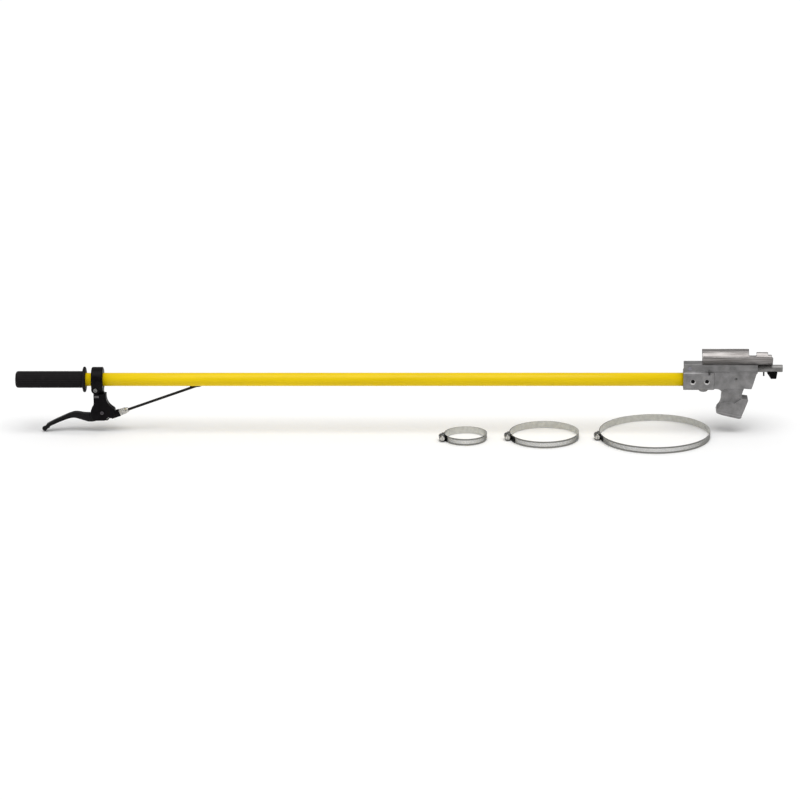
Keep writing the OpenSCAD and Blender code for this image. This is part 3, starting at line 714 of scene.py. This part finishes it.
barrel_shape = [(-30, 0), (-30, 2.9), (-29.5, 3.4), (-13.4, 3.4), (-13.4, 5.8), (-13.2, 6.2)]
barrel_shape += [(t, 6.2) for t in np.linspace(-13.1, -6.1, 29)]
barrel_shape += [(-5.9, 6.1), (-5.8, 5.6), (-0.2, 4.4), (0, 4.2), (0, 2.8), (-6.8, 2.8), (-6.8, 0)]
nut_shape = [(-17.5, 3.45), (-17.5, 6), (-17.2, 6.4)]
nut_shape += [(t, 6.4) for t in np.linspace(-17.1, -13.9, 8)]
nut_shape += [(-13.8, 6.4), (-13.5, 6), (-13.5, 3.45), (-17.5, 3.45)]
stands_for(turned_on_cable("adjuster", barrel_shape, 220, diamond_knurl), "adjuster_barrel",
           finishes["bright_zinc"])
stands_for(turned_on_cable("lock_nut", nut_shape, 200, straight_knurl), "adjuster_locknut",
           finishes["bright_zinc"])
stands_for(eased("cable_grommet", "grommet", 0.2 * MM), "cable_grommet", finishes["black_rubber"])

# %% [markdown]
# ## The head
#
# Cast aluminium, sawn and drilled: a socket block with a web above it, a pistol-shaped leg pinned
# into it, and a saddle of bent plate. The castings are softened copies, more for the lumpy leg
# than for the saddle, whose edges were only filed.

# %% Castings
stands_for(softened("head_casting", "head", 0.8 * MM, 4), "head_casting", head_metal)
stands_for(softened("pistol_leg", "leg", 0.55 * MM, 10), "pistol_leg", finishes["cast_aluminium"])
stands_for(softened("saddle_channel", "saddle", 0.6 * MM, 4), "saddle_channel", saddle_metal)
stands_for(eased("side_cover", "cover_plate", 0.4 * MM), "side_cover", finishes["cast_aluminium"])
for node, name in [("pole_screws", "pole_screw_pair"), ("set_screw", "socket_screw"),
                   ("saddle_screws", "saddle_screw_pair"), ("cover_screws", "cover_screw_set"),
                   ("leg_roll_pin", "roll_pin"), ("finger_screw", "finger_bolt")]:
    stands_for(eased(node, name, 0.2 * MM), node, finishes[row_of[node]["material_slot"]])
stands_for(eased("web_rivet", "rivet", 0.4 * MM), "web_rivet", rivet_metal)

# %% [markdown]
# The pull rod is round bar with a rough skin, and has a flat milled into its underside for the
# finger. Turning the profile gives the bar; the flat is made by lifting every point of that stretch
# that lies too low up to the flat's height.

# %% Pull rod, finger and stop pin
ROD_Z = 21.5


def pull_rod():
    """A circle of radius 7 mm along X. Between the two ends of the flat, z is at least flat_z."""
    flat_z, flat = 15.2, (1361, 1384.5)
    stops = np.array([1326, 1326, 1326.4, 1340, flat[0], flat[0], flat[1], flat[1], 1388, 1391.6,
                      1392.2, 1392.5, 1392.5])
    radii = np.array([0, 6.6, 7, 7, 7, 7, 7, 7, 7, 7, 6.7, 6.1, 0])
    a = np.linspace(0, 2 * np.pi, 128, endpoint=False)[None, :]
    y = radii[:, None] * np.cos(a)
    z = ROD_Z + radii[:, None] * np.sin(a)
    z[5:7] = np.maximum(z[5:7], flat_z)
    points = np.stack([np.broadcast_to(stops[:, None], y.shape), y, z], -1) * MM
    return new_piece("rod", outward(grid_mesh("rod", points)))


stands_for(pull_rod(), "trigger_rod", rod_metal)
stands_for(softened("trigger_finger", "finger", 0.3 * MM, 5), "trigger_finger",
           finishes["finger_rubber"])
stands_for(eased("travel_stop_pin", "stop_pin", 0.3 * MM), "travel_stop_pin",
           finishes["black_paint"])

# %% [markdown]
# A return spring inside the head pushes the rod out again; one end of it sits against the casting.
# It is a tube carried along a helix.

# %% Return spring
SEAT_X, SPRING_END_X, SPRING_R, SPRING_TURNS = 1300.7, 1325.3, 5.5, 6


def coil():
    """A helix of SPRING_TURNS turns about the rod's line. As t runs from 0 to 1, x runs evenly from
    SEAT_X to SPRING_END_X, and (y, z) goes round a circle of radius SPRING_R."""
    t = np.linspace(0, 1, SPRING_TURNS * 28 + 1)
    a = 2 * np.pi * SPRING_TURNS * t
    return np.stack([SEAT_X + (SPRING_END_X - SEAT_X) * t, SPRING_R * np.cos(a),
                     ROD_Z + SPRING_R * np.sin(a)], -1) * MM


spring = stands_for(tube("return_spring", coil(), 0.6 * MM, 12, (1, 0, 0)), "rod_return_spring",
                    finishes["zinc_steel"])
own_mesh(spring)

# %% [markdown]
# ## The hose clamps
#
# A worm-drive clamp is one long steel strip. It starts in the housing, goes once round, climbs
# over its own start, passes under the worm and ends in a free tail. The worm's thread bites into
# short slanted slots that are punched through the strip. So the strip is a path of angle and
# radius, with a width; the cells of the grid that are slots are simply left out, and Solidify
# gives the sheet its thickness.

# %% Band
BAND_W, BAND_T, SLOT_PITCH = 12.7, 0.7, 1.9
HOUSING_W, LEVEL_Z = BAND_W + 1.4, -103.0
CLIMB_BEFORE, CLIMB_RUN = 14, 11  # the strip climbs over this run, so far before its second layer
# Where the rows of points lie across the strip, as parts of its half width; the slots are between
# the fourth row and the seventh.
ACROSS = np.array([-1, -0.93, -0.63, -0.55, -0.18, 0.18, 0.55, 0.63, 0.93, 1])
axis_z = LEVEL_Z + HOUSING_W / 2


def band(name, center, r_out, housing, tail):
    """Distance s runs along the strip. Its angle falls from the housing, once round and on to the
    tail; its radius is the inner layer's, then climbs by one thickness just before the housing."""
    turn = 2 * np.pi * r_out
    length = turn + math.radians(housing - tail) * r_out
    steps = int(length / (SLOT_PITCH / 2))
    s = np.linspace(0, length, steps + 1)
    climb = np.clip((s - (turn - CLIMB_BEFORE)) / CLIMB_RUN, 0, 1)
    r = r_out - BAND_T / 2 + BAND_T * climb * climb * (3 - 2 * climb)
    across = ACROSS * BAND_W / 2
    to_end = np.minimum(s, length - s)
    round_off = np.sqrt(np.clip(1 - (1 - np.clip(to_end / 4, 0, 1)) ** 2, 0, 1)) * 0.4 + 0.6
    z = across[:, None] * round_off[None, :]
    slant = 0.11 * z * (to_end > 6)[None, :]
    angle = math.radians(housing) - (s[None, :] + slant) / r_out
    points = np.stack([center[0] + r * np.cos(angle), center[1] + r * np.sin(angle),
                       axis_z + z], -1)
    cell = np.arange(steps)
    punched = (cell % 2 == 1) & (s[:-1] > 0.45 * turn) & (s[1:] < length - 7)
    keep = np.ones((len(across) - 1, steps), bool)
    keep[3:6] &= ~punched
    mesh = grid_mesh(name, points * MM, closed=False, keep=keep)
    piece = new_piece(name, mesh)
    wall = piece.modifiers.new("wall", "SOLIDIFY")
    wall.thickness = (BAND_T - 0.06) * MM
    wall.offset = 0
    edge = piece.modifiers.new("edge", "BEVEL")
    edge.width = 0.08 * MM
    edge.segments = 1
    edge.limit_method = "ANGLE"
    edge.angle_limit = math.radians(50)
    return piece


for size, (center, r_out, housing, tail) in clamps.items():
    stands_for(band(size + "_strip", center, r_out, housing, tail), size + "_band",
               strip_steel[size])

# %% [markdown]
# The worm is a coarse thread with a slotted hexagon head. Its surface is a radius that depends on
# both the distance along the screw and the angle round it: the same wave, shifted by one pitch per
# turn. The head's slot is a step down in the end face between two straight lines.

# %% Worm screw
HEX_FLATS, WASHER_R, SLOT_HALF = 8.2, 4.58, 0.65


def hexagon(across_flats, a):
    """Distance from the middle to the side of a hexagon at angle a."""
    third = np.pi / 3
    return across_flats / 2 / np.cos(np.mod(a, third) - third / 2)


def worm(name, center, r_out, housing):
    """Thread: radius 3.5 mm plus 0.7 mm times a flattened wave of (along / pitch - angle / turn).
    Head: the smaller of a hexagon and a circle, which rounds the hexagon's corners."""
    half, pitch, around = 6.7, SLOT_PITCH, 72
    a = np.linspace(0, 2 * np.pi, around, endpoint=False)[None, :]
    along = np.linspace(-half, half - 0.6, 100)[:, None]
    wave = 0.5 + 0.5 * np.cos(2 * np.pi * (along / pitch - a / (2 * np.pi)))
    thread = 3.45 + 0.7 * np.clip(1.6 * wave - 0.3, 0, 1)
    head_r = np.minimum(hexagon(HEX_FLATS, a), 4.45)
    rows = [np.broadcast_arrays(-half, radius + 0 * a) for radius in (0, 3.2)]
    rows += [np.broadcast_arrays(along, thread)]
    rows += [np.broadcast_arrays(level, radius + 0 * a) for level, radius in
             [(half - 0.5, 3.4), (half, 3.4), (half, 4.4), (half + 0.2, WASHER_R),
              (half + 1.0, WASHER_R), (half + 1.2, 4.4), (half + 1.2, head_r - 0.15),
              (half + 1.4, head_r), (half + 5.0, head_r), (half + 5.5, head_r - 0.4)]]
    rows += [np.broadcast_arrays(half + 5.5, (head_r - 0.4) * k)
             for k in (0.9, 0.75, 0.6, 0.45, 0.3, 0.15, 0.0)]
    u = np.vstack([np.atleast_2d(row[0]) for row in rows])
    r = np.vstack([np.atleast_2d(row[1]) for row in rows])
    y, z = r * np.cos(a), r * np.sin(a)
    face = u > half + 5.2
    u = np.where(face & (np.abs(z) < SLOT_HALF), half + 4.0, u)
    h = math.radians(housing)
    out = np.array([math.cos(h), math.sin(h), 0])
    ahead = np.array([-math.sin(h), math.cos(h), 0])
    at = np.array([*center, axis_z]) + (r_out + 5.3) * out
    points = at + u[..., None] * ahead + y[..., None] * np.array([0, 0, 1.0]) + z[..., None] * out
    return new_piece(name, outward(grid_mesh(name, points * MM)))


for size, (center, r_out, housing, tail) in clamps.items():
    stands_for(worm(size + "_worm", center, r_out, housing), size + "_worm_screw",
               finishes["bright_zinc"])
    stands_for(softened(size + "_housing", size + "_worm_box", 0.22 * MM, 3), size + "_housing",
               strip_steel[size])

# %% [markdown]
# ## What stays as CAD
#
# The inner wire, its clamping screw and the ferrule sit inside the head or under the lever. Their
# CAD shapes are right, so they only get a finish.

# %% Carried-over nodes
for name, node in frame["nodes"].items():
    if not node.hide_render:
        print("kept", name)
